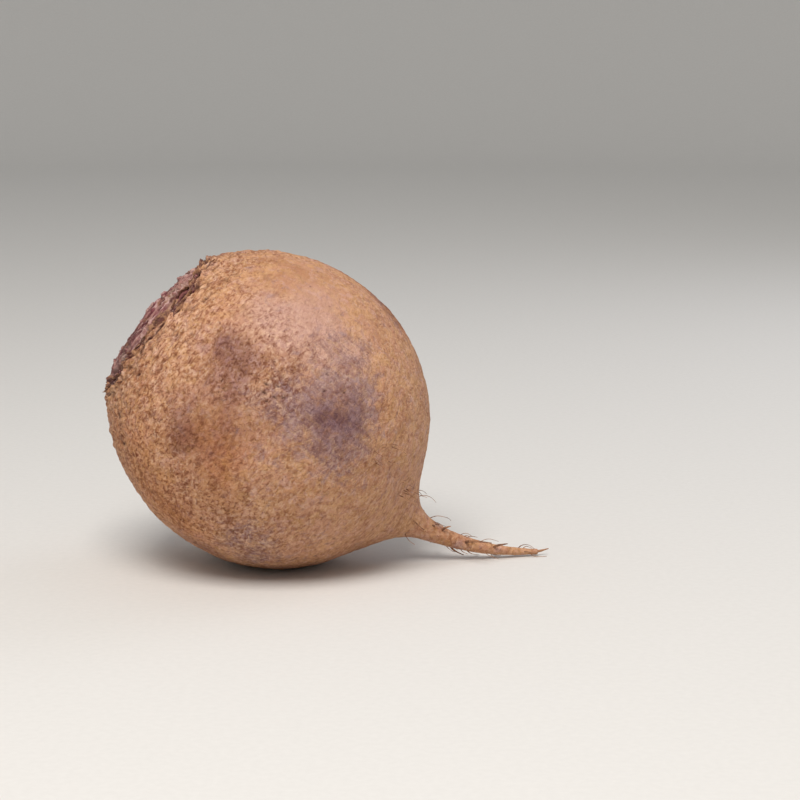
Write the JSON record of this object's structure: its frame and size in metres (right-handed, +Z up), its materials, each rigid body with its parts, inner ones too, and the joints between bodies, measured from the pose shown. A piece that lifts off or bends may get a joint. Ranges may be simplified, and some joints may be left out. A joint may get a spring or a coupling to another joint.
{
  "type": "beetroot",
  "caption": "Whole raw beetroot lying on its side: a round corky globe, a close-trimmed crown of leaf stalk scars and a thin tail root with rootlets.",
  "frame": {"origin": "on the small flat spot that the root rests on, right under the middle of the globe", "axes": "+Z up, +X along the table from the crown's end to the tip of the tail root, -Y the side that the picture shows"},
  "size_m": [0.1303, 0.092, 0.0941],
  "materials": {
    "skin": "dry corky tan-brown root skin with fine wrinkles and pits, grey lavender where the cork is thin, purple-brown fibrous tissue at the cut crown"
  },
  "bodies": {
    "root": {"beetroot": "skin"}
  },
  "joints": []
}
